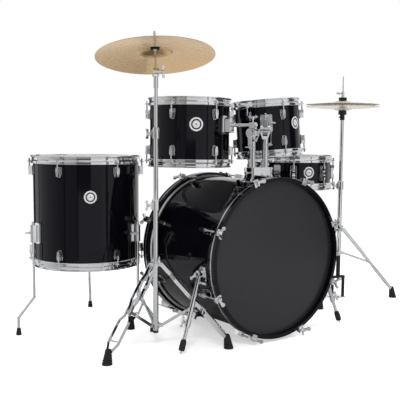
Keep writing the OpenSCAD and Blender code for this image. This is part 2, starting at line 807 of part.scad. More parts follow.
// Double-ended lug: base with a raised rim, body with a boss for a rod at each end and a waist
module snare_lug(h, w = 28) {
    difference() {
        union() {
            difference() {
                raised(3.2) rounded_rect(w, h, 5);
                translate([1.6, 0, 0]) raised(4) rounded_rect(w - 3.6, h - 3.6, 3.4);
            }
            raised(ear_reach + 4) polygon([
                [-5, h / 2 - 3], [5, h / 2 - 3], [7.5, h * 0.28], [5, 0], [7.5, -h * 0.28], [5, 3 - h / 2],
                [-5, 3 - h / 2], [-7.5, -h * 0.28], [-5, 0], [-7.5, h * 0.28]
            ]);
            for (s = [-1, 1])
                translate([ear_reach, 0, s * (h / 2 - 8) - 6.5]) cylinder(h = 13, r = rod_r + 2.6);
        }
        for (s = [-1, 1])
            translate([ear_reach, 0, s * h / 2 - 15]) cylinder(h = 30, r = rod_r + 0.15);
        translate([ear_reach + 13, 0, 0]) rotate([90, 0, 0])
            translate([0, 0, -20]) cylinder(h = 40, r = 14);
    }
}

module snare_fittings() {
    r = snare_d / 2;
    lug_len = snare_depth - 54;
    color(chrome_c) in_snare() {
        for (i = [0:7]) {
            a = snare_phase + i * 45;
            on_wall(a, r, snare_depth / 2) snare_lug(lug_len);
            both_edges(snare_depth)
                rotate([0, 0, a]) translate([r + ear_reach, 0, 0])
                    tension_rod((snare_depth - lug_len) / 2 + 12);
        }
        // strainer and butt plate
        difference() {
            for (a = [0, 180])
                rotate([0, 0, strainer_az + a]) {
                    translate([r - 3, 0, snare_depth / 2]) rotate([90, 0, 90])
                        linear_extrude(6) rounded_rect(30, 70, 5);
                    translate([r, 0, snare_depth / 2 - 22]) rotate([90, 0, 90])
                        linear_extrude(16) rounded_rect(24, 22, 4);
                }
            cylinder(h = snare_depth, r = r + 0.02, $fn = 96);
            rotate([0, 0, strainer_az]) translate([r + 9.4, 0, snare_depth / 2 + 8])
                rotate([90, 0, 0]) translate([0, 0, -20]) cylinder(h = 40, r = 4);
        }
        // ears and pin of the throw-off lever
        rotate([0, 0, strainer_az]) for (s = [-1, 1])
            translate([r + 3, s * 8 - 1.5, snare_depth / 2 - 12]) cube([14, 3, 34]);
        rotate([0, 0, strainer_az]) translate([r + 10, 0, snare_depth / 2 + 14])
            rotate([90, 0, 0]) translate([0, 0, -9]) cylinder(h = 18, r = 2.2);
        // snare wires under the lower head
        rotate([0, 0, strainer_az]) {
            for (i = [-7:7])
                translate([-r + 34, i * 3.2, -head_t - 1.1]) rotate([0, 90, 0])
                    cylinder(h = 2 * r - 68, r = 1.1, $fn = 16);
            for (s = [-1, 1])
                translate([s * (r - 30), 0, -head_t - 1.2]) cube([16, 52, 2.4], center = true);
        }
    }
}

// Throw-off lever on the strainer
module snare_throw_lever() {
    r = snare_d / 2;
    color(chrome_c) in_snare() rotate([0, 0, strainer_az]) difference() {
        translate([r + 10, 0, snare_depth / 2 + 14]) rotate([90, 0, 0])
            translate([0, 0, -5]) linear_extrude(10) {
                circle(r = 6);
                polygon([[-2, 4], [6, 0], [17, 34], [11, 36]]);
            }
        translate([r + 10, 0, snare_depth / 2 + 14]) rotate([90, 0, 0])
            translate([0, 0, -9]) cylinder(h = 18, r = 2.2 + fit);
    }
}

// ---------------------------------------------------------------- stands

// Height clamp round a tube, its wing screw pointing along az
module height_clamp(top, r_out, r_in, az) {
    translate([0, 0, top - 30]) difference() {
        union() {
            cylinder(h = 34, r = r_out + 4.5);
            translate([0, 0, 34]) cylinder(h = 4, r1 = r_out + 4.5, r2 = r_out + 1.5);
            rotate([0, 0, az]) translate([0, -7, 4]) cube([r_out + 9, 14, 24]);
            rotate([0, 0, az]) translate([r_out + 8, 0, 16]) rotate([0, 90, 0]) wing_screw(9, 3, 13);
        }
        translate([0, 0, -1]) cylinder(h = 50, r = r_in + fit);
    }
}

// Flat bar with round ends from the origin along +x, in the x-z plane, between y0 and y0 + t
module flat_bar(len, w, y0, t, holes) {
    translate([0, y0 + t, 0]) rotate([90, 0, 0]) linear_extrude(t)
        difference() {
            union() {
                translate([0, -w / 2]) square([len, w]);
                circle(r = w / 2);
                translate([len, 0]) circle(r = w / 2);
            }
            for (x = holes) translate([x, 0]) circle(r = pin_r + fit);
        }
}

// Ribbed rubber foot that leans in towards the tube and is cut flat on the floor
module rubber_foot() {
    difference() {
        rotate([0, -foot_lean, 0]) translate([0, 0, -6]) rotate_extrude()
            polygon([
                [0, 0], [17, 0], [17, 12], [14.8, 14], [16.2, 16.5], [15.6, 21], [13.4, 23],
                [14.8, 25.5], [14.2, 30], [12.2, 32], [13.4, 34.5], [12.8, 39], [11, 41],
                [12, 43.5], [11.4, 51], [8.5, 57], [0, 57]
            ]);
        translate([-50, -50, -40]) cube([100, 100, 40]);
    }
}

// One side of a leg: a flat rail that bows out above and below the brace's rivet
module leg_rail(len) {
    path = [
        [0.06, 0], [0.13, 0], [0.2, 6], [0.4, 6], [0.47, 0], [0.58, 0], [0.64, leg_bow],
        [0.87, leg_bow], [0.985, -4.5]
    ];
    flat_bar(len * 0.1, rail_w, rail_in, rail_t, [0]);
    translate([0, rail_in + 0.2, -rail_w / 2 + 0.5]) linear_extrude(rail_w - 1)
        polygon(concat(
            [for (q = path) [q[0] * len, q[1]]],
            [for (i = [len(path) - 1:-1:0]) [path[i][0] * len, path[i][1] + rail_t - 0.4]]
        ));
}

// Tripod leg: two rails and a foot. top is the pivot's height, reach the foot's radius.
// The rivet through the brace is left out where the leg folds.
module tripod_leg(top, reach, riveted = true) {
    run = reach - pivot_r;
    drop = top - foot_z;
    length = norm([run, drop]);
    color(chrome_c) translate([pivot_r, 0, top]) rotate([0, atan2(drop, run), 0]) {
        for (s = [0, 1]) mirror([0, s, 0]) leg_rail(length);
        translate([length * rivet_share, 0, 0]) rotate([90, 0, 0]) {
            for (s = [0, 1]) mirror([0, 0, s])
                translate([0, 0, rail_in + rail_t - 0.6]) cylinder(h = 2.1, r = 4.5);
            if (riveted)
                translate([0, 0, -rail_in - 1]) cylinder(h = 2 * rail_in + 2, r = pin_r);
        }
        translate([length * 0.85, 0, 0]) rotate([90, 0, 0])
            translate([0, 0, -rail_in - leg_bow - 1])
                cylinder(h = 2 * (rail_in + leg_bow + 1), r = 2.4);
    }
    color(rubber_c) translate([reach, 0, 0]) rubber_foot();
}

// Brace from the lower pivot (height low) up to the leg's rivet
module tripod_brace(low, top, reach) {
    run = (reach - pivot_r) * rivet_share;
    rise = top - (top - foot_z) * rivet_share - low;
    color(chrome_c) translate([pivot_r, 0, low]) rotate([0, -atan2(rise, run), 0])
        flat_bar(norm([run, rise]), brace_w, -brace_t / 2, brace_t, [0, norm([run, rise])]);
}

// Upper collar of a tripod on a tube of radius r: tabs between the rails, with their pins
module leg_collar(z, r, bore, dirs, screw_az) {
    translate([0, 0, z]) difference() {
        union() {
            translate([0, 0, -10]) cylinder(h = 30, r = r + 4);
            for (a = dirs) rotate([0, 0, a]) {
                translate([0, rail_in - gap, 0]) rotate([90, 0, 0])
                    linear_extrude(2 * (rail_in - gap)) {
                        translate([0, -7]) square([pivot_r, 14]);
                        translate([pivot_r, 0]) circle(r = 7);
                    }
                translate([pivot_r, 0, 0]) rotate([90, 0, 0])
                    translate([0, 0, -rail_in - rail_t - 1.5])
                        cylinder(h = 2 * (rail_in + rail_t + 1.5), r = pin_r);
            }
            rotate([0, 0, screw_az]) translate([r + 3, 0, 13]) rotate([0, 90, 0]) wing_screw(9, 3, 12);
        }
        translate([0, 0, -20]) cylinder(h = 60, r = bore);
    }
}

// Lower collar on a tube of radius r: a pair of ears for each brace
module brace_collar(z, r, bore, dirs) {
    ear_in = brace_t / 2 + gap;
    translate([0, 0, z]) difference() {
        union() {
            translate([0, 0, -10]) cylinder(h = 20, r = r + 3.5);
            for (a = dirs) rotate([0, 0, a]) {
                for (s = [0, 1]) mirror([0, s, 0])
                    translate([0, ear_in + 2.2, 0]) rotate([90, 0, 0])
                        linear_extrude(2.2) {
                            translate([0, -6]) square([pivot_r, 12]);
                            translate([pivot_r, 0]) circle(r = 6);
                        }
                translate([pivot_r, 0, 0]) rotate([90, 0, 0])
                    translate([0, 0, -ear_in - 2.5]) cylinder(h = 2 * ear_in + 5, r = pin_r);
            }
        }
        translate([0, 0, -20]) cylinder(h = 40, r = bore);
    }
}

// ---------------------------------------------------------------- snare stand

module in_snare_stand() { translate([snare_pos[0], snare_pos[1], 0]) children(); }

module snare_stand_base() {
    in_snare_stand() {
        color(chrome_c) {
            translate([0, 0, 48]) tube(snare_tube_top - 48, stand_r, stand_mid_r + fit);
            height_clamp(snare_tube_top, stand_r, stand_mid_r, 150);
            leg_collar(snare_collar_z, stand_r, stand_r - 0.4, snare_leg_dirs, 50);
            brace_collar(snare_brace_z, stand_r, stand_r - 0.4, snare_leg_dirs);
        }
        for (a = snare_leg_dirs) rotate([0, 0, a]) {
            tripod_leg(snare_collar_z, snare_spread);
            tripod_brace(snare_brace_z, snare_collar_z, snare_spread);
        }
    }
}

module snare_stand_tube() {
    color(chrome_c) in_snare_stand() {
        translate([0, 0, snare_tube_top - tube_overlap + 20])
            cylinder(h = basket_z - 16 - snare_tube_top + tube_overlap - 20, r = stand_mid_r);
        translate([0, 0, basket_z - 16]) difference() {
            translate([-9, -12, 0]) cube([18, 24, 25]);
            translate([-20, -7, 2]) cube([40, 14, 30]);
        }
        translate([0, 0, basket_z]) rotate([90, 0, 0]) {
            translate([0, 0, -12]) cylinder(h = 24, r = 3);
            translate([0, 0, 11]) wing_screw(9);
        }
    }
}

// Basket: hub on the tilt pin, three arms and rubber grips under the snare's hoop
module snare_basket() {
    hoop_r = hoop_lip(snare_d / 2) - 3 + gap;
    rim_z = snare_lift - rim_over;
    in_snare_stand() {
        color(chrome_c) {
            translate([0, 0, basket_z]) difference() {
                union() {
                    translate([-8, -6.4, -8]) cube([16, 12.8, 26]);
                    translate([0, 0, 16]) cylinder(h = 12, r = 20);
                }
                rotate([90, 0, 0]) translate([0, 0, -20]) cylinder(h = 40, r = 3 + fit);
            }
            for (i = [0:2]) rotate([0, 0, basket_phase + 120 * i]) {
                bar([12, 0, basket_z + 22], [hoop_r + 2, 0, rim_z - 16], 5);
                translate([hoop_r + 2, 0, rim_z - 24]) cylinder(h = 18, r = 6.2);
            }
        }
        color(rubber_c) for (i = [0:2]) rotate([0, 0, basket_phase + 120 * i])
            translate([0, 7, 0]) rotate([90, 0, 0]) linear_extrude(14)
                polygon([
                    [hoop_r - 16, rim_z - 10], [hoop_r + 12, rim_z - 12], [hoop_r + 12, rim_z + 9],
                    [hoop_r + 3, rim_z + 9], [hoop_r + 3, rim_z - gap], [hoop_r - 16, rim_z - gap]
                ]);
    }
}

// ---------------------------------------------------------------- crash cymbal stand

module in_crash() { translate([crash_pos[0], crash_pos[1], 0]) children(); }

module crash_lower_tube() {
    in_crash() {
        color(chrome_c) {
            translate([0, 0, 58]) tube(crash_low_top - 58, crash_lower_r, crash_middle_r + fit);
            height_clamp(crash_low_top, crash_lower_r, crash_middle_r, 145);
            brace_collar(brace_z, crash_lower_r, crash_lower_r - 0.4, crash_dirs);
        }
        color(rubber_c) translate([0, 0, 50]) cylinder(h = 8, r = crash_lower_r);
    }
}

module crash_middle_tube() {
    color(chrome_c) in_crash() {
        translate([0, 0, crash_low_top - tube_overlap])
            tube(crash_mid_top - crash_low_top + tube_overlap, crash_middle_r, crash_upper_r + fit);
        height_clamp(crash_mid_top, crash_middle_r, crash_upper_r, 145);
    }
}

module crash_upper_tube() {
    color(chrome_c) in_crash() {
        translate([0, 0, crash_mid_top - tube_overlap])
            cylinder(h = crash_tilt_z - 14 - crash_mid_top + tube_overlap, r = crash_upper_r);
        translate([0, 0, crash_tilt_z - 56]) cylinder(h = 42, r = 8.5);
        translate([0, 0, crash_tilt_z]) rotate([0, 0, crash_az]) {
            for (s = [-1, 1])
                translate([0, s * (6 + gap + 2), 0]) rotate([90, 0, 0])
                    translate([0, 0, -2]) linear_extrude(4) {
                        circle(r = 11);
                        translate([-7, -16]) square([14, 16]);
                    }
            translate([-7, -10.4, -18]) cube([14, 20.8, 4]);
            rotate([90, 0, 0]) {
                translate([0, 0, -10]) cylinder(h = 20, r = 3.5);
                translate([0, 0, 9]) rotate([0, 0, 90]) wing_screw(12, 3.5, 17);
            }
        }
    }
}

// Frame of the crash tilter: origin on the tilt axis, +Z up the cymbal's rod
module in_crash_top() {
    translate([crash_pos[0], crash_pos[1], crash_tilt_z])
        rotate([0, 0, crash_az]) rotate([0, crash_tilt, 0]) children();
}

module crash_tilter() {
    in_crash_top() {
        color(chrome_c) {
            difference() {
                union() {
                    rotate([90, 0, 0]) translate([0, 0, -6]) cylinder(h = 12, r = 10);
                    translate([0, 0, 6]) cylinder(h = 20, r = 5.4);
                }
                rotate([90, 0, 0]) translate([0, 0, -20]) cylinder(h = 40, r = 3.5 + fit);
            }
            translate([0, 0, 20]) cylinder(h = crash_seat + 34, r = 4);
            translate([0, 0, crash_seat - 10.5]) cylinder(h = 2.5, r = 14);
            translate([0, 0, crash_seat - 12.5]) cylinder(h = 2, r = 7);
            translate([0, 0, crash_seat + 12]) {
                cylinder(h = 8, r = 8);
                translate([0, 0, 3]) wing_screw(5, 5, 12);
            }
        }
        color(rubber_c) {
            translate([0, 0, crash_seat - 8]) cylinder(h = 6.4, r = 16);
            translate([0, 0, crash_seat - 2]) cylinder(h = 8, r = 5.6);
            translate([0, 0, crash_seat + cymbal_t + gap]) cylinder(h = 11 - cymbal_t - gap, r = 15);
        }
    }
}

module crash_cymbal() {
    color(bronze_c) in_crash_top() translate([0, 0, crash_seat - crash_bow - crash_bell])
        rotate_extrude($fn = 96) cymbal_section(crash_d / 2, 60, crash_bow, crash_bell, 6.5);
}

module crash_collar() {
    color(chrome_c) in_crash()
        leg_collar(collar_z, crash_lower_r, crash_lower_r + fit, crash_dirs, crash_phase + 60);
}

module crash_leg(i) {
    in_crash() rotate([0, 0, crash_dir(i)]) tripod_leg(collar_z, crash_spread, false);
}
module crash_brace(i) {
    in_crash() rotate([0, 0, crash_dir(i)]) tripod_brace(brace_z, collar_z, crash_spread);
}
module crash_leg_1() { crash_leg(0); }
module crash_leg_2() { crash_leg(1); }
module crash_leg_3() { crash_leg(2); }
module crash_brace_1() { crash_brace(0); }
module crash_brace_2() { crash_brace(1); }
module crash_brace_3() { crash_brace(2); }

// ---------------------------------------------------------------- hi-hat

module in_hats() { translate([hats_pos[0], hats_pos[1], 0]) children(); }
module along_hats_pedal() { in_hats() rotate([0, 0, hats_pedal_dir]) children(); }

module hihat_stand() {
    in_hats() {
        color(chrome_c) {
            translate([0, 0, 96]) tube(hats_top_tube - 96, hats_tube_r, stand_mid_r + fit);
            height_clamp(hats_top_tube, hats_tube_r, stand_mid_r, 145);
            leg_collar(hats_collar_z, hats_tube_r, hats_tube_r - 0.4, hats_leg_dirs, 90);
            brace_collar(hats_brace_z, hats_tube_r, hats_tube_r - 0.4, hats_leg_dirs);
        }
        for (a = hats_leg_dirs) rotate([0, 0, a]) {
            tripod_leg(hats_collar_z, hats_spread);
            tripod_brace(hats_brace_z, hats_collar_z, hats_spread);
        }
    }
    // pedal frame: two side posts, base plate and heel plate
    color(black_c) along_hats_pedal() {
        for (s = [-1, 1])
            translate([-8, s * 30 - 3, 4]) cube([16, 6, 92]);
        translate([-10, -33, 93]) difference() {
            cube([20, 66, 10]);
            translate([10, 33, -1]) cylinder(h = 12, r = rod_bore);
        }
    }
    color(chrome_c) along_hats_pedal() {
        translate([-14, -36, 0]) cube([hats_pedal_len + 70, 72, 4]);
        translate([hats_pedal_len, -36, 4]) difference() {
            cube([56, 72, 16]);
            translate([-1, 8, 1.5]) cube([16, 56, 20]);
        }
        translate([hats_pedal_len + 6, 0, hats_heel_z]) rotate([90, 0, 0])
            translate([0, 0, -33]) cylinder(h = 66, r = 3);
    }
}

module hihat_upper_tube() {
    in_hats() {
        color(chrome_c) difference() {
            translate([0, 0, hats_top_tube - tube_overlap])
                cylinder(h = hats_seat_z - 36 - hats_top_tube + tube_overlap, r = stand_mid_r);
            translate([0, 0, hats_top_tube - tube_overlap - 10]) cylinder(h = hats_rod_top, r = rod_bore);
        }
        color(rubber_c) difference() {
            union() {
                translate([0, 0, hats_seat_z - 41]) cylinder(h = 28, r = stand_mid_r + 2.6);
                translate([0, 0, hats_seat_z - 17]) cylinder(h = 17, r = 18.5);
                translate([-stand_mid_r - 1, 0, hats_seat_z - 28]) rotate([0, -90, 0]) cylinder(h = 10, r = 3.5);
            }
            translate([0, 0, hats_top_tube]) cylinder(h = hats_rod_top, r = rod_bore);
        }
    }
}

module hihat_bottom_cymbal() {
    color(bronze_c) in_hats() translate([0, 0, hats_z]) mirror([0, 0, 1])
        rotate_extrude($fn = 96) cymbal_section(hats_d / 2, 45, hats_bow, hats_bell, 6.5);
}

module hihat_top_cymbal() {
    color(bronze_c) in_hats() translate([0, 0, hats_z + hats_gap])
        rotate_extrude($fn = 96) cymbal_section(hats_d / 2, 45, hats_bow, hats_bell, 6.5);
}

// Pull rod with the clutch that grips the top cymbal
module hihat_pull_rod() {
    bell_z = hats_z + hats_gap + hats_bow + hats_bell;
    in_hats() {
        color(chrome_c) {
            translate([0, 0, hats_toe_z + 16])
                cylinder(h = hats_rod_top - rod_end - hats_toe_z - 16, r = pull_r);
            translate([0, 0, hats_toe_z + 20]) cylinder(h = hats_rod_top - hats_toe_z - 20, r = rod_end_r);
            translate([0, 0, hats_toe_z + 16]) cylinder(h = 10, r = 6);
            translate([0, 0, bell_z - 9]) cylinder(h = 14, r = 5.8);
            translate([0, 0, bell_z + cymbal_t + 14]) cylinder(h = 26, r = 6.6);
            translate([0, 0, bell_z + cymbal_t + 33]) rotate([0, 90, 145])
                translate([0, 0, 5]) rotate([0, 0, 90]) wing_screw(14, 3, 11);
            translate([0, 0, bell_z - 12]) cylinder(h = 5, r = 9);
        }
        color(rubber_c) {
            translate([0, 0, bell_z - 7]) cylinder(h = 6.5, r = 9);
            translate([0, 0, bell_z + cymbal_t + gap / 2]) cylinder(h = 14 - gap / 2, r = 18);
        }
    }
}

// Footboard hinged at the heel, its toe under the pull rod
module hihat_footboard() {
    run = hats_pedal_len + 6;
    rise = hats_toe_z - hats_heel_z;
    color(chrome_c) along_hats_pedal() translate([run, 0, hats_heel_z])
        rotate([0, atan2(rise, run), 0]) mirror([1, 0, 0])
            pedal_board(norm([run, rise]) - 14, 58, 3);
}

// Ribbed footboard along +x with its hinge barrel round the origin
module pedal_board(len, w, hinge_r) {
    difference() {
        union() {
            rotate([90, 0, 0]) translate([0, 0, -w / 2 + 4]) cylinder(h = w - 8, r = hinge_r + 3);
            linear_extrude(4) polygon([
                [0, -w / 2 + 4], [0, w / 2 - 4], [22, w / 2], [len - 70, w / 2],
                [len - 8, w / 2 - 14], [len, w / 2 - 22], [len, -w / 2 + 22],
                [len - 8, -w / 2 + 14], [len - 70, -w / 2], [22, -w / 2]
            ]);
            for (i = [0:6])
                translate([40 + i * (len - 100) / 6, 0, 4]) cube([5, w - 24, 2.4], center = true);
        }
        rotate([90, 0, 0]) translate([0, 0, -w]) cylinder(h = 2 * w, r = hinge_r + fit);
    }
}

// ---------------------------------------------------------------- bass drum pedal

module pedal_base() {
    hoop_low = bass_z - bass_hoop_out;
    color(chrome_c) {
        translate([-56, -pedal_half, 0]) cube([112, 2 * pedal_half, 4]);
        // posts and axle bearings
        for (s = [-1, 1])
            difference() {
                union() {
                    translate([s * 48 - 6, axle_y - 8, 4]) cube([12, 16, axle_z - 4]);
                    translate([s * 48, axle_y, axle_z]) rotate([0, 90, 0])
                        translate([0, 0, -6]) cylinder(h = 12, r = 12);
                }
                translate([s * 48, axle_y, axle_z]) rotate([0, 90, 0])
                    translate([0, 0, -20]) cylinder(h = 40, r = 5 + fit);
            }
        // hoop clamp
        translate([-24, -pedal_reach - bass_hoop_depth + 4, 0]) difference() {
            cube([48, bass_hoop_depth + 14, hoop_low]);
            translate([-1, -1, 4]) cube([50, bass_hoop_depth - 6, hoop_low]);
        }
        // heel plate with the footboard's hinge pin
        translate([-40, pedal_heel_y - 2, 3]) difference() {
            cube([80, pedal_half - pedal_heel_y + 2, 19]);
            translate([8, -2, 5]) cube([64, 20, 20]);
        }
        translate([0, pedal_heel_y + 4, pedal_heel_z]) rotate([0, 90, 0])
            translate([0, 0, -38]) cylinder(h = 76, r = 3);
        // return spring on its hook beside the right post
        translate([66, axle_y, 26]) {
            cylinder(h = 84, r = 8);
            translate([-12, -3, -26]) cube([14, 6, 30]);
        }
    }
}

// Shaft with cam, crank, rod and felt head
module pedal_beater() {
    translate([0, axle_y, axle_z]) {
        color(chrome_c) {
            rotate([0, 90, 0]) translate([0, 0, -58]) cylinder(h = 132, r = 5);
            rotate([0, 90, 0]) translate([0, 0, -8]) cylinder(h = 16, r = 34);
            translate([66, 0, 0]) rotate([0, 90, 0]) cylinder(h = 8, r = 11);
            rotate([-beater_back, 0, 0]) translate([0, 0, 4]) cylinder(h = beater_len - 8, r = 3.5);
        }
        color(head_c) rotate([-beater_back, 0, 0]) translate([0, 0, beater_len])
            rotate([90, 0, 0]) translate([0, 0, -22]) cylinder(h = 44, r = 25);
    }
}

module pedal_footboard() {
    run = pedal_heel_y + 4 - pedal_toe_y;
    rise = pedal_toe_z - pedal_heel_z;
    color(chrome_c) translate([0, pedal_heel_y + 4, pedal_heel_z]) rotate([0, 0, -90]) {
        rotate([0, -atan2(rise, run), 0]) pedal_board(norm([run, rise]), 62, 3);
        // strap from the toe up to the cam
        translate([run - 8, -6, rise - 1]) cube([2.5, 12, axle_z - pedal_toe_z + 3]);
    }
}

bass_shell();
bass_heads();
bass_hoops();
bass_lugs();
bass_claws();
spur_left_sleeve();
spur_left_leg();
spur_right_sleeve();
spur_right_leg();
tom_mount_block();
left_post();
left_tilter();
left_arm();
right_post();
right_tilter();
right_arm();
tom12_shell();
tom12_hoops();
tom12_heads();
tom12_lugs();
tom10_shell();
tom10_hoops();
tom10_heads();
tom10_lugs();
floor_tom_shell();
floor_tom_hoops();
floor_tom_heads();
floor_tom_lugs();
floor_tom_leg_1();
floor_tom_leg_2();
floor_tom_leg_3();
snare_shell();
snare_hoops();
snare_heads();
snare_fittings();
snare_throw_lever();
snare_stand_base();
snare_stand_tube();
snare_basket();
crash_lower_tube();
crash_middle_tube();
crash_upper_tube();
crash_tilter();
crash_cymbal();
crash_collar();
crash_leg_1();
crash_leg_2();
crash_leg_3();
crash_brace_1();
crash_brace_2();
crash_brace_3();
hihat_stand();
hihat_upper_tube();
hihat_bottom_cymbal();
hihat_pull_rod();
hihat_top_cymbal();
hihat_footboard();
pedal_base();
pedal_footboard();
pedal_beater();
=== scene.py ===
# Looks of the drum kit: studio, finishes and the small trim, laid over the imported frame.
import math

import bpy
import numpy as np
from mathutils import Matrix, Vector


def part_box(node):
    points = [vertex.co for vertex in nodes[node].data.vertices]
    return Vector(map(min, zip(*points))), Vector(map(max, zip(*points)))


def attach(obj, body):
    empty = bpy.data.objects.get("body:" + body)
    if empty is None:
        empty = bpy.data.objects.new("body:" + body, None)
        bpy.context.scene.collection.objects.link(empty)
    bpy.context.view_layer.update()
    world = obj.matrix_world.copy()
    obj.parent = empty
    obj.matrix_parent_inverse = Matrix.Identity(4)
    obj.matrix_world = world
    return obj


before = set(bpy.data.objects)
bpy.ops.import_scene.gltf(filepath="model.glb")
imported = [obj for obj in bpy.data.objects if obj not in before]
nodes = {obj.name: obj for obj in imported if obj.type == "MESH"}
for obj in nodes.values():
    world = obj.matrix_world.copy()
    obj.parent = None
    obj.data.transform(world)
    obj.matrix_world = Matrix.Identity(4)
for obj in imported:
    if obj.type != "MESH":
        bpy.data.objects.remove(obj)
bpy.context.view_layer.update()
scene = bpy.context.scene
print("frame loaded:", len(nodes), "nodes")


# Wraps a socket, so that an expression on it adds its Math nodes
class Wire:
    def __init__(self, graph, socket):
        self.graph = graph
        self.socket = socket

    def math(self, operation, a, b=0.0):
        return self.graph.node("Math", {"operation": operation}, {0: a, 1: b})

    def __add__(self, other):
        return self.math("ADD", self, other)

    def __radd__(self, other):
        return self.math("ADD", other, self)

    def __sub__(self, other):
        return self.math("SUBTRACT", self, other)

    def __rsub__(self, other):
        return self.math("SUBTRACT", other, self)

    def __mul__(self, other):
        return self.math("MULTIPLY", self, other)

    def __rmul__(self, other):
        return self.math("MULTIPLY", other, self)

    def __gt__(self, other):
        return self.math("GREATER_THAN", self, other)

    def __lt__(self, other):
        return self.math("LESS_THAN", self, other)

    def __abs__(self):
        return self.math("ABSOLUTE", self)

    def sine(self):
        return self.math("SINE", self)

    def either(self, other):
        return self.math("MAXIMUM", self, other)

    def clamped(self):
        return self.either(0.0).math("MINIMUM", self.either(0.0), 1.0)


class Graph:
    def __init__(self, tree):
        self.nodes = tree.nodes
        self.links = tree.links
        self.nodes.clear()

    # one node: its type, its settings, its sockets and which output is wanted
    def node(self, kind, settings=None, sockets=None, output=0):
        made = self.nodes.new("ShaderNode" + kind)
        for name, value in (settings or {}).items():
            if name == "stops":
                ramp = made.color_ramp
                while len(ramp.elements) < len(value):
                    ramp.elements.new(0.5)
                for element, (place, level) in zip(ramp.elements, value):
                    element.position = place
                    element.color = (level, level, level, 1)
            else:
                setattr(made, name, value)
        for name, value in (sockets or {}).items():
            if isinstance(value, Wire):
                self.links.new(value.socket, made.inputs[name])
            else:
                made.inputs[name].default_value = value
        return Wire(self, made.outputs[output])

    def close(self, kind, shader):
        output = self.nodes.new("ShaderNodeOutput" + kind)
        self.links.new(shader.socket, output.inputs[0])

    def place(self):
        return self.node("TexCoord", output="Object")

    def vector(self, operation, a, b=(0, 0, 0), output=0):
        return self.node("VectorMath", {"operation": operation}, {0: a, 1: b}, output)

    def part(self, axis):
        return self.node("SeparateXYZ", None, {0: self.place()}, axis)

    def noise(self, scale, detail=3.0, rough=0.55):
        return self.node("TexNoise", None, {"Vector": self.place(), "Scale": scale, "Detail": detail,
                                            "Roughness": rough})

    # noise that depends on one number only, such as a radius
    def grooves(self, value, scale):
        return self.node("TexNoise", {"noise_dimensions": "1D"},
                         {"W": value, "Scale": scale, "Detail": 2.0})

    def mix(self, factor, a, b):
        first, second = ((*side, 1) if isinstance(side, tuple) else side for side in (a, b))
        return self.node("Mix", {"data_type": "RGBA"}, {0: factor, 6: first, 7: second}, 2)

    # how far a point lies along a line through foot
    def along(self, foot, direction):
        return self.vector("DOT_PRODUCT", self.vector("SUBTRACT", self.place(), foot), direction, 1)

    # how far a point lies from a line through foot
    def off(self, foot, direction):
        arm = self.vector("SUBTRACT", self.place(), foot)
        return self.vector("LENGTH", self.vector("CROSS_PRODUCT", arm, direction), output=1)

    # one finish laid over another where mask is 1
    def lay(self, mask, over, under):
        laid = {"color": self.mix(mask, under["color"], over["color"]),
                "relief": mask * over["relief"] + (1 - mask) * under["relief"]}
        for name in ("rough", "metal"):
            laid[name] = mask * over[name] + (1 - mask) * under[name]
        return laid

    # the shader of a finish; relief is a height in metres
    def coat(self, finish, **fixed):
        bump = self.node("Bump", None, {"Height": finish["relief"], "Strength": 1.0, "Distance": 1.0})
        named = {name.replace("_", " "): value for name, value in fixed.items()}
        return self.node("BsdfPrincipled", None, {
            "Base Color": finish["color"], "Roughness": finish["rough"], "Metallic": finish["metal"],
            "Normal": bump, **named})


def makeMaterial(name, build):
    made = bpy.data.materials.new(name)
    made.use_nodes = True
    graph = Graph(made.node_tree)
    graph.close("Material", build(graph))
    return made


def wear(name, material):
    slots = nodes[name].data.materials
    slots.clear()
    slots.append(material)


# angles spaced evenly round a circle
def circle(sides):
    return np.linspace(0, 2 * np.pi, sides + 1)[:-1]


# a smooth piece from its points and faces
def makePiece(name, points, faces, material):
    mesh = bpy.data.meshes.new(name)
    mesh.from_pydata(points.tolist(), [], faces)
    mesh.polygons.foreach_set("use_smooth", np.ones(len(mesh.polygons), bool))
    mesh.materials.append(material)
    piece = bpy.data.objects.new(name, mesh)
    scene.collection.objects.link(piece)
    return piece


# Camera, world, floor and lamps

cameraValues = {"place": (-1.721, -2.528, 0.735), "heading": 35.26, "down": 6.12, "roll": -0.41,
                "focal": 64.8, "sensor": 36.0, "shiftUp": 0.0395, "reach": 50}


def makeCamera(v):
    data = bpy.data.cameras.new("studioCamera")
    data.lens = v["focal"]
    data.sensor_width = v["sensor"]
    data.shift_y = v["shiftUp"]
    data.clip_end = v["reach"]
    camera = bpy.data.objects.new("studioCamera", data)
    scene.collection.objects.link(camera)
    camera.location = v["place"]
    camera.rotation_euler = (math.radians(90 - v["down"]), math.radians(v["roll"]),
                             math.radians(-v["heading"]))
    scene.camera = camera


studioValues = {
    "fill": 0.62, "ceiling": 0.34, "softbox": 0.66,
    # brightness of the walls that polished surfaces mirror, by bearing in degrees
    "walls": [(-180, 0.34), (-166.5, 0.27), (-165.5, 0.10), (-163, 0.10), (-162, 0.34), (-137, 0.28),
              (-136, 0.12), (-135, 0.12), (-134, 0.62), (-88, 0.66), (-76, 0.80), (-74.6, 0.12),
              (-72.4, 0.12), (-71, 0.80), (-50, 0.70), (-44, 0.05), (-20, 0.05), (-14, 0.60), (2, 0.65),
              (20, 0.75), (44, 0.95), (60, 0.95), (64, 0.50), (70, 0.04), (96, 0.04), (102, 0.60),
              (118, 0.88), (119.4, 0.15), (121.4, 0.15), (122.6, 0.66), (160, 0.50), (180, 0.34)],
    # a dark panel among the walls: its bearings, the heights of its edges and the light left on it
    "panel": {"from": -135, "to": -107, "low": -0.075, "high": 0.012, "left": 0.16},
    # how much of that is left at each height of the mirrored direction
    "heights": [(-1.0, 1.0), (0.31, 1.0), (0.36, 0.15), (0.46, 0.15), (0.5, 1.0), (1.0, 1.0)],
    # the heights between which the walls turn into the ceiling
    "ceilingFrom": 0.44, "ceilingTo": 0.56}


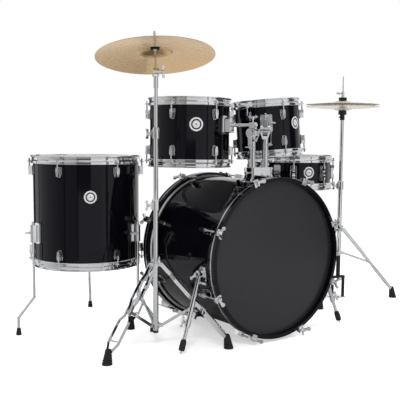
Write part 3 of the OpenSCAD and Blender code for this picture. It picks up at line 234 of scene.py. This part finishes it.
# The eye sees white, matt surfaces an even pale fill, and polished ones a studio of pale
# walls with dark gaps between them, a dark line above them and soft boxes on the ceiling
def makeWorld(v):
    world = bpy.data.worlds.new("studio")
    scene.world = world
    world.use_nodes = True
    g = Graph(world.node_tree)
    way = g.node("TexCoord", output="Generated")
    x, y, z = (g.node("SeparateXYZ", None, {0: way}, axis) for axis in range(3))
    bearing = g.node("Math", {"operation": "ARCTAN2"}, {0: y, 1: x})
    wall = g.node("ValToRGB", {"stops": [(0.5 + turn / 360, level) for turn, level in v["walls"]]},
                  {"Fac": bearing * (0.5 / math.pi) + 0.5})
    band = g.node("ValToRGB", {"stops": [(0.5 + 0.5 * height, level) for height, level in v["heights"]]},
                  {"Fac": z * 0.5 + 0.5})
    high = g.node("MapRange", {"interpolation_type": "SMOOTHSTEP"},
                  {"Value": z, "From Min": v["ceilingFrom"], "From Max": v["ceilingTo"],
                   "To Min": 0.0, "To Max": 1.0})
    turn, p = bearing * (180 / math.pi), v["panel"]
    panel = (turn > p["from"]) * (turn < p["to"]) * (z > p["low"]) * (z < p["high"])
    wall = wall * (1 - panel * (1 - p["left"]))
    polished = high * (wall * v["softbox"] + v["ceiling"]) + (1 - high) * wall * band
    ray = {name: g.node("LightPath", output=name)
           for name in ("Is Camera Ray", "Is Glossy Ray", "Is Transmission Ray")}
    seen = ray["Is Camera Ray"].either(ray["Is Transmission Ray"])
    level = seen + (1 - seen) * (ray["Is Glossy Ray"] * polished + (1 - ray["Is Glossy Ray"]) * v["fill"])
    g.close("World", g.node("Background", None, {"Color": (1, 1, 1, 1), "Strength": level}))


floorValues = {"radius": 2.1, "corners": 96, "place": (0, -0.3, -0.0005), "tone": 0.8, "mottle": 1.02,
               "mirrored": 0.5, "lift": 0.52}


# A disc in polar form: x = r cos a, y = r sin a, faces up
def makeFloor(v):
    angle = circle(v["corners"])
    points = np.column_stack([v["radius"] * np.cos(angle), v["radius"] * np.sin(angle), 0 * angle])
    mesh = bpy.data.meshes.new("floor")
    mesh.from_pydata(points.tolist(), [], [list(range(v["corners"]))])
    floor = bpy.data.objects.new("floor", mesh)
    floor.location = v["place"]
    scene.collection.objects.link(floor)

    def paint(g):
        camera, through = (g.node("LightPath", output=name)
                           for name in ("Is Camera Ray", "Is Transmission Ray"))
        pale = g.mix(g.noise(3.0), (v["tone"],) * 3, (v["tone"] * v["mottle"],) * 3)
        tone = g.mix(g.node("LightPath", output="Is Glossy Ray"), pale, (v["mirrored"],) * 3)
        matt = g.node("BsdfDiffuse", None, {"Color": tone})
        glow = g.node("Emission", None, {"Color": (1, 1, 1, 1),
                                         "Strength": camera.either(through) * v["lift"]})
        return g.node("AddShader", None, {0: matt, 1: glow})

    mesh.materials.append(makeMaterial("floorPaint", paint))


lampValues = {"key": {"place": (-2.6, -3.4, 3.6), "size": 1.2, "power": 105},
              "side": {"place": (3.2, -1.6, 3.0), "size": 1.1, "power": 55},
              "back": {"place": (0.6, 3.4, 3.4), "size": 1.2, "power": 60}}
lampAim = (0.1, -0.2, 0.5)


def makeLamp(name, v):
    data = bpy.data.lights.new(name, "AREA")
    data.shape = "DISK"
    data.size = v["size"]
    data.energy = v["power"]
    lamp = bpy.data.objects.new(name, data)
    scene.collection.objects.link(lamp)
    lamp.location = v["place"]
    aim = np.array(lampAim) - np.array(v["place"])
    bearing = math.atan2(aim[1], aim[0])
    lamp.visible_glossy = False  # polished surfaces mirror the world alone
    lamp.rotation_euler = (math.acos(-aim[2] / np.linalg.norm(aim)), 0, bearing - math.pi / 2)


makeCamera(cameraValues)
makeWorld(studioValues)
makeFloor(floorValues)
for lampName, lampSet in lampValues.items():
    makeLamp(lampName, lampSet)
scene.view_settings.view_transform = "Standard"
print("studio ready")


# Finishes: each is a colour, a roughness, a metallic level and a relief in metres

def chrome(g, dull=0.0):
    haze = g.noise(34.0, 4.0)
    return {"color": g.mix(haze, (0.80, 0.81, 0.83), (0.93, 0.94, 0.955)),
            "rough": 0.025 + dull + haze * 0.04, "metal": 1.0, "relief": g.noise(160.0, 2.0) * 0.00002}


def castChrome(g):
    return chrome(g, 0.04)


def lacquer(g):
    depth = g.noise(5.0)
    return {"color": g.mix(depth, (0.0015, 0.0013, 0.0026), (0.0032, 0.0028, 0.0052)),
            "rough": 0.035 + g.noise(60.0) * 0.04, "metal": 0.0, "relief": g.noise(190.0, 1.0) * 0.000012}


def rubber(g):
    return {"color": g.mix(g.noise(90.0), (0.007, 0.007, 0.0075), (0.016, 0.016, 0.017)),
            "rough": 0.55 + g.noise(240.0) * 0.2, "metal": 0.0, "relief": g.noise(900.0) * 0.00012}


def blackFelt(g):
    fibre = g.noise(1400.0, 4.0, 0.7)
    return {"color": g.mix(fibre, (0.006, 0.006, 0.006), (0.03, 0.03, 0.031)),
            "rough": 0.92 + fibre * 0.06, "metal": 0.0, "relief": fibre * 0.0003}


def whiteFelt(g):
    fibre = g.noise(900.0, 4.0, 0.7)
    return {"color": g.mix(fibre, (0.62, 0.61, 0.57), (0.84, 0.83, 0.8)), "rough": 0.9 + fibre * 0.08,
            "metal": 0.0, "relief": fibre * 0.0004}


def blackPaint(g):
    return {"color": g.mix(g.noise(40.0), (0.008, 0.008, 0.009), (0.014, 0.014, 0.015)),
            "rough": 0.28 + g.noise(120.0) * 0.1, "metal": 0.0, "relief": g.noise(500.0) * 0.00002}


def coatedFilm(g):
    spray = g.noise(700.0, 4.0, 0.6)
    return {"color": g.mix(spray, (0.74, 0.74, 0.72), (0.84, 0.84, 0.82)), "rough": 0.5 + spray * 0.15,
            "metal": 0.0, "relief": spray * 0.00006}


def blackFilm(g):
    cloud = g.noise(4.0, 3.0)
    return {"color": g.mix(cloud, (0.0155, 0.014, 0.0185), (0.019, 0.0172, 0.0225)),
            "rough": 0.24 + cloud * 0.08, "metal": 0.0, "relief": g.noise(500.0) * 0.00001}


def plain(finish, **fixed):
    return lambda g: g.coat(finish(g), **fixed)


# where mask(g) is 1 the first finish shows, elsewhere the second
def parted(mask, over, under, **fixed):
    return lambda g: g.coat(g.lay(mask(g), over(g), under(g)), **fixed)


polish = makeMaterial("polishedChrome", plain(chrome))
cast = makeMaterial("castChrome", plain(castChrome))
# faintly violet in its reflections
lacquerCoat = {"IOR": 1.36, "Specular_Tint": (0.94, 0.91, 1.0, 1.0)}
gloss = makeMaterial("blackLacquer", plain(lacquer, **lacquerCoat))
# middle, axis and outer radius of each shell
drumValues = {"tom12": {"middle": (-0.14022, -0.2231, 0.757), "axis": (0.00798, 0.00354, 0.99996),
                        "wall": 0.1525},
              "tom10": {"middle": (0.19107, -0.29798, 0.77556), "axis": (-0.05776, 0.05311, 0.99692),
                        "wall": 0.127},
              "floor": {"middle": (-0.461, 0.019, 0.457), "axis": (0, 0, 1), "wall": 0.203},
              "snare": {"middle": (0.499, -0.099, 0.590), "axis": (0, 0, 1), "wall": 0.178},
              "bass": {"middle": (0, -0.34, 0.305), "axis": (0, 1, 0), "wall": 0.2795}}


wallBlackReach = 0.0019


# castings turn to black rubber within 1.9 mm of the shell's wall, so their hollows close to the wall show
# black
def seated(v):
    return parted(lambda g: g.off(v["middle"], v["axis"]) < v["wall"] + wallBlackReach,
                  rubber, castChrome)


for name, drum in {"tom12_lugs": "tom12", "tom10_lugs": "tom10", "floor_tom_lugs": "floor",
                   "snare_fittings": "snare", "bass_lugs": "bass"}.items():
    wear(name, makeMaterial(drum + "Castings", seated(drumValues[drum])))
steelNodes = ["spur_left_sleeve", "spur_right_sleeve", "left_post", "right_post", "tom12_hoops",
              "tom10_hoops", "floor_tom_hoops", "snare_hoops", "snare_throw_lever", "snare_stand_tube",
              "crash_middle_tube", "crash_upper_tube", "crash_collar", "crash_brace_1", "crash_brace_2",
              "crash_brace_3", "hihat_footboard", "pedal_footboard", "left_arm", "right_arm"]
castNodes = ["bass_claws", "tom_mount_block", "left_tilter", "right_tilter"]
for name in steelNodes:
    wear(name, polish)
for name in castNodes:
    wear(name, cast)
for name in ("bass_shell", "tom12_shell", "tom10_shell", "floor_tom_shell", "snare_shell"):
    wear(name, gloss)
film = makeMaterial("coatedFilm", plain(coatedFilm))
for name in ("tom12_heads", "tom10_heads", "floor_tom_heads", "snare_heads"):
    wear(name, film)
print("shells, heads and fittings finished")


# Bass drum heads and hoops

hoopLow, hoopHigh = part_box("bass_hoops")
hoopAxis = (0.0, 0.0, (hoopLow[2] + hoopHigh[2]) / 2)
hoopRadius = (hoopHigh[2] - hoopLow[2]) / 2
inlayValues = {"setIn": 0.019, "halfWidth": 0.0034, "depth": 0.0012}


def silverInlay(g):
    sheen = g.noise(400.0, 2.0)
    return {"color": g.mix(sheen, (0.52, 0.53, 0.55), (0.78, 0.79, 0.81)), "rough": 0.22 + sheen * 0.1,
            "metal": 0.9, "relief": sheen * 0.00001}


# a band round each hoop's outer face, at the middle of its depth
def inlayBand(g):
    side = g.part(1)
    front = abs(side - (hoopLow[1] + inlayValues["setIn"])) < inlayValues["halfWidth"]
    rear = abs(side - (hoopHigh[1] - inlayValues["setIn"])) < inlayValues["halfWidth"]
    return front.either(rear) * (g.off(hoopAxis, (0, 1, 0)) > hoopRadius - inlayValues["depth"])


wear("bass_hoops", makeMaterial("hoopPaint", parted(inlayBand, silverInlay, lacquer, **lacquerCoat)))
middle = (hoopLow[1] + hoopHigh[1]) / 2
wear("bass_heads", makeMaterial("bassFilms", parted(lambda g: g.part(1) < middle, blackFilm, coatedFilm)))
print("bass drum finished")


# Rubber, felt and painted pieces of the stands and pedals

def below(height):
    return lambda g: g.part(2) < height


def upright(g, place):
    return g.off((*place, 0), (0, 0, 1))


def near(x, y, reach, top):
    return lambda g: (upright(g, (x, y)) < reach) * (g.part(2) < top)


standValues = {"crash": {"place": (-0.404, -0.402), "reach": 0.259, "legs": (200.5, 320.5, 80.5)},
               "snare": {"place": (0.499, -0.099), "reach": 0.172, "legs": (100, -20, -140)},
               "hats": {"place": (0.724, -0.194), "reach": 0.262, "legs": (-33, -153)}}
footValues = {"lean": 9, "base": 0.0181, "taper": 0.135, "height": 0.0515, "ring": 0.0085,
              "groove": 0.0009}


# a rubber foot: inside a cone round its leaning axis
def footMask(g, stand, turn):
    lean, bearing = math.radians(footValues["lean"]), math.radians(turn)
    foot = (stand["place"][0] + stand["reach"] * math.cos(bearing),
            stand["place"][1] + stand["reach"] * math.sin(bearing), 0)
    axis = (-math.sin(lean) * math.cos(bearing), -math.sin(lean) * math.sin(bearing), math.cos(lean))
    up = g.along(foot, axis)
    inside = g.off(foot, axis) < footValues["base"] - footValues["taper"] * up
    return inside * (up < footValues["height"])


# rubber with moulded rings: relief = a sine of height
def ringedRubber(g):
    finish = rubber(g)
    rings = (g.part(2) * (2 * math.pi / footValues["ring"])).sine()
    finish["relief"] = finish["relief"] + rings * footValues["groove"]
    return finish


def feetMask(g, stand):
    feet = footMask(g, stand, stand["legs"][0])
    for turn in stand["legs"][1:]:
        feet = feet.either(footMask(g, stand, turn))
    return feet


# heights between which a leg or tube is rubber
tipValues = {"spurFrom": 0.0117, "spurTo": 0.051, "floorLegTo": 0.0262, "crashPlugTo": 0.0581}
spurRubber = makeMaterial("spurRubber", parted(
    lambda g: (g.part(2) < tipValues["spurTo"]) * (g.part(2) > tipValues["spurFrom"]), rubber, chrome))
wear("spur_left_leg", spurRubber)
wear("spur_right_leg", spurRubber)
legTip = makeMaterial("floorLegTip", parted(below(tipValues["floorLegTo"]), rubber, chrome))
for count in (1, 2, 3):
    wear(f"floor_tom_leg_{count}", legTip)
plug = makeMaterial("tubePlug", parted(below(tipValues["crashPlugTo"]), rubber, chrome))
wear("crash_lower_tube", plug)
for count, turn in enumerate(standValues["crash"]["legs"], 1):
    wear(f"crash_leg_{count}", makeMaterial(f"crashFoot{count}", parted(
        lambda g, turn=turn: footMask(g, standValues["crash"], turn), ringedRubber, chrome)))

wear("snare_stand_base", makeMaterial("snareFeet", parted(
    lambda g: feetMask(g, standValues["snare"]), ringedRubber, chrome)))
gripValues = {"reach": 0.168, "from": 0.5027}
wear("snare_basket", makeMaterial("basketGrips", parted(
    lambda g: (upright(g, standValues["snare"]["place"]) > gripValues["reach"])
    * (g.part(2) > gripValues["from"]),
    rubber, chrome)))


hatsValues = {"frameReach": 0.046, "frameFrom": 0.0041, "frameTo": 0.1034, "tubeReach": 0.0099,
              "tubeTo": 0.199, "seatFrom": 0.8235}


# feet, the pedal's frame and the lowest part of the tube
def hatsMask(g):
    place, v = standValues["hats"]["place"], hatsValues
    pedal = near(*place, v["frameReach"], v["frameTo"])(g) * (g.part(2) > v["frameFrom"])
    tube = near(*place, v["tubeReach"], v["tubeTo"])(g)
    return feetMask(g, standValues["hats"]).either(pedal).either(tube)


wear("hihat_stand", makeMaterial("hatsFeet", parted(hatsMask, rubber, chrome)))
wear("hihat_upper_tube", makeMaterial("hatsSeat", parted(
    lambda g: g.part(2) > hatsValues["seatFrom"], blackPaint, chrome)))


rodFeltValues = {"lower": (0.90292, 0.90958), "upper": (0.9116, 0.92544), "rod": 0.0062}


def rodFelts(g):
    z = g.part(2)
    lower, upper = ((z > low) * (z < high)
                    for low, high in (rodFeltValues["lower"], rodFeltValues["upper"]))
    return lower.either(upper) * (upright(g, standValues["hats"]["place"]) > rodFeltValues["rod"])


wear("hihat_pull_rod", makeMaterial("rodFelts", parted(rodFelts, blackFelt, chrome)))
beaterValues = {"pivot": (0, -0.082, 0.190), "feltFrom": 0.1046}
wear("pedal_beater", makeMaterial("beaterFelt", parted(
    lambda g: g.off(beaterValues["pivot"], (1, 0, 0)) > beaterValues["feltFrom"], whiteFelt, chrome)))


springValues = {"side": 0.0576, "from": 0.0305, "pitch": 0.0042, "depth": 0.0007}


# the return spring's turns: relief = a sine of height
def pedalSteel(g):
    finish, v = chrome(g), springValues
    coil = (g.part(0) > v["side"]) * (g.part(2) > v["from"])
    turns = (g.part(2) * (2 * math.pi / v["pitch"])).sine()
    finish["relief"] = finish["relief"] + coil * (turns * v["depth"])
    return finish


wear("pedal_base", makeMaterial("pedalSteel", plain(pedalSteel)))
print("stands and pedals finished")


# Cymbals

cymbalValues = {
    "crash": {"foot": (-0.404, -0.402, 0.962), "lean": 12, "bearing": 69, "bell": 0.060,
              "pale": (0.92, 0.66, 0.38), "deep": (0.69, 0.46, 0.23), "rough": 0.2},
    "hats": {"foot": (0.724, -0.194, 0.884), "lean": 0, "bearing": 0, "bell": 0.045,
             "pale": (0.98, 0.95, 0.86), "deep": (0.84, 0.77, 0.63), "rough": 0.32}}


# the axis of a cymbal: a unit vector leaning from the vertical towards its bearing
def cymbalAxis(v):
    lean, bearing = math.radians(v["lean"]), math.radians(v["bearing"])
    return (math.sin(lean) * math.cos(bearing), math.sin(lean) * math.sin(bearing), math.cos(lean))


# Lathe grooves round the axis: colour and height follow one-dimensional noise of the radius
def bronze(v):
    def build(g):
        radius = g.off(v["foot"], cymbalAxis(v))
        fine = g.grooves(radius, 2600.0)
        broad = g.grooves(radius, 160.0)
        cloud = g.noise(14.0)
        tone = (fine * 0.55 + broad * 0.35 + cloud * 0.3 - 0.1).clamped()
        bell = radius < v["bell"]
        return {"color": g.mix(tone, v["deep"], v["pale"]),
                "rough": v["rough"] + broad * 0.12 + bell * 0.08,
                "metal": 1.0, "relief": (1 - bell * 0.7) * (fine * 0.00003 + broad * 0.00003)}

    return build


crashBronze = bronze(cymbalValues["crash"])
hatsBronze = bronze(cymbalValues["hats"])
wear("crash_cymbal", makeMaterial("crashBronze", plain(crashBronze)))
for name in ("hihat_top_cymbal", "hihat_bottom_cymbal"):
    wear(name, makeMaterial("hatsBronze", plain(hatsBronze)))


tilterFeltValues = {"from": 0.0762, "to": 0.0985, "rod": 0.0042}


def tilterFelts(g):
    v, felt = cymbalValues["crash"], tilterFeltValues
    up = g.along(v["foot"], cymbalAxis(v))
    return (up > felt["from"]) * (up < felt["to"]) * (g.off(v["foot"], cymbalAxis(v)) > felt["rod"])


wear("crash_tilter", makeMaterial("tilterFelts", parted(tilterFelts, blackFelt, chrome)))
print("cymbals finished")


# Plain vent badges on the shells

badgeValues = {"tom12": {"body": "tom12", "turn": -115.5, "rise": 0.029, "radius": 0.0255},
               "tom10": {"body": "tom10", "turn": -73.0, "rise": 0.0160, "radius": 0.0240},
               "floor": {"body": "kit", "turn": -112.5, "rise": 0.063, "radius": 0.0235},
               "snare": {"body": "snare", "turn": -106.0, "rise": 0.003, "radius": 0.0245}}
# share of the radius and height in metres, from the middle to the rim and back underneath
badgeProfile = {
    "sides": 64,
    "share": [0, 0.08, 0.11, 0.18, 0.22, 0.51, 0.535, 0.56, 0.74, 0.77, 0.80, 0.94, 1.0, 1.0, 0.6,
              0.2, 0],
    "height": [-0.0004, -0.0004, 0.0016, 0.0021, 0.0013, 0.0013, 0.0011, 0.0007, 0.0007, 0.0011, 0.0014,
               0.0014, 0.0008, -0.0005, -0.0006, -0.0006, -0.0006]}
enamelValues = {"from": 0.545, "to": 0.755, "hole": 0.1}


# A plate wrapped on a drum's wall. In its own plane a point is at (s cos a, s sin a) with s from
# the profile; on the wall the first turns round the shell's axis and the second goes up it:
# middle + (R + h) (e cos t + f sin t) + (rise + w) axis, with t = turn + u / R
def makeBadge(name, v, drum):
    axis = np.array(drum["axis"], float)
    east = np.array([1.0, 0.0, 0.0]) - axis[0] * axis
    east /= np.linalg.norm(east)
    north = np.cross(axis, east)
    share = np.array(badgeProfile["share"][1:-1])
    rise = np.array(badgeProfile["height"][1:-1])
    around = circle(badgeProfile["sides"])
    s, a = np.meshgrid(share * v["radius"], around, indexing="ij")
    h = np.repeat(rise[:, None], len(around), 1)
    u, w = (s * np.cos(a)).ravel(), (s * np.sin(a)).ravel()
    centres = [badgeProfile["height"][0], badgeProfile["height"][-1]]
    flat = np.column_stack([np.append(u, [0, 0]), np.append(w, [0, 0]), np.append(h.ravel(), centres)])
    turn = (math.radians(v["turn"]) + flat[:, 0] / drum["wall"])[:, None]
    reach = (drum["wall"] + flat[:, 2])[:, None]
    points = (np.array(drum["middle"]) + reach * (np.cos(turn) * east + np.sin(turn) * north)
              + (v["rise"] + flat[:, 1])[:, None] * axis)
    rows, columns = s.shape
    i, j = np.meshgrid(np.arange(rows - 1), np.arange(columns), indexing="ij")
    here, ahead = i * columns + j, i * columns + (j + 1) % columns
    quads = np.stack([here, here + columns, ahead + columns, ahead], -1).reshape(-1, 4)
    first = np.arange(columns)
    step = (first + 1) % columns
    last = (rows - 1) * columns
    caps = [[rows * columns, p, q] for p, q in zip(first, step)]
    caps += [[rows * columns + 1, last + q, last + p] for p, q in zip(first, step)]
    badge = makePiece(name, points, quads.tolist() + caps, badgeMetal)
    shares = badge.data.attributes.new("badgeShare", "FLOAT", "POINT")
    shares.data.foreach_set("value", np.append(np.repeat(share, columns), [0, 0]).astype(np.float32))
    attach(badge, v["body"])


def satinSilver(g):
    brushed = g.noise(320.0, 3.0)
    return {"color": g.mix(brushed, (0.80, 0.80, 0.81), (0.92, 0.92, 0.93)),
            "rough": 0.34 + brushed * 0.12, "metal": 0.35, "relief": brushed * 0.00002}


# satin rim and middle with a black enamel ring between them, and at the very middle painted shade: black
# paint for the dark inside of the vent's hole
def badgePaint(g):
    share = g.node("Attribute", {"attribute_name": "badgeShare"}, None, "Fac")
    ring = (share > enamelValues["from"]) * (share < enamelValues["to"])
    hole = share < enamelValues["hole"]
    return g.coat(g.lay(ring.either(hole), blackPaint(g), satinSilver(g)))


badgeMetal = makeMaterial("badgeMetal", badgePaint)
for name, v in badgeValues.items():
    makeBadge(name + "_badge", v, drumValues[name])
print("badges finished")


# Sleeves that thicken the tom posts between collar and tilter

sleeveValues = {"left": {"body": "left_post_body", "place": (-0.030, -0.471), "tilt": 0.757},
                "right": {"body": "right_post_body", "place": (0.030, -0.471), "tilt": 0.766}}
sleeveShape = {"inner": 0.0086, "outer": 0.0110, "foot": 0.6551, "under": 0.0645, "bevel": 0.0007,
               "ring": 0.55, "ringHalf": 0.0024, "ringOut": 0.0009, "round": 0.0003, "gap": 0.0001,
               "sharp": 30, "sides": 48}


# A closed ring turned about a post: (x, y, z) = (px + r cos a, py + r sin a, h), with r and h
# from a profile that goes up the outside, over the raised ring, and back down inside
def makeSleeve(name, v, shape):
    low, high = shape["foot"], v["tilt"] - shape["under"]
    outer, inner, bevel = shape["outer"], shape["inner"], shape["bevel"]
    ring = low + shape["ring"] * (high - low)
    half, out = shape["ringHalf"], shape["outer"] + shape["ringOut"]
    soft, gap = shape["round"], shape["gap"]
    profile = np.array([
        (inner, low), (outer - bevel, low), (outer, low + bevel), (outer, ring - half - gap),
        (outer, ring - half), (out, ring - half + soft), (out, ring + half - soft), (outer, ring + half),
        (outer, ring + half + gap), (outer, high - bevel), (outer - bevel, high), (inner, high)])
    turn = circle(shape["sides"])
    r, a = np.meshgrid(profile[:, 0], turn, indexing="ij")
    h = np.repeat(profile[:, 1:], len(turn), 1)
    x, y = v["place"]
    points = np.stack([x + r * np.cos(a), y + r * np.sin(a), h], -1).reshape(-1, 3)
    rows, columns = r.shape
    i, j = np.meshgrid(np.arange(rows), np.arange(columns), indexing="ij")
    here, ahead = i * columns + j, i * columns + (j + 1) % columns
    above, beyond = (here + columns) % (rows * columns), (ahead + columns) % (rows * columns)
    quads = np.stack([here, ahead, beyond, above], -1).reshape(-1, 4)
    sleeve = makePiece(name, points, quads.tolist(), polish)
    sleeve.data.set_sharp_from_angle(angle=math.radians(shape["sharp"]))
    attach(sleeve, v["body"])


for name, v in sleeveValues.items():
    makeSleeve(name + "_post_sleeve", v, sleeveShape)
print("sleeves finished")

print("scene ready")
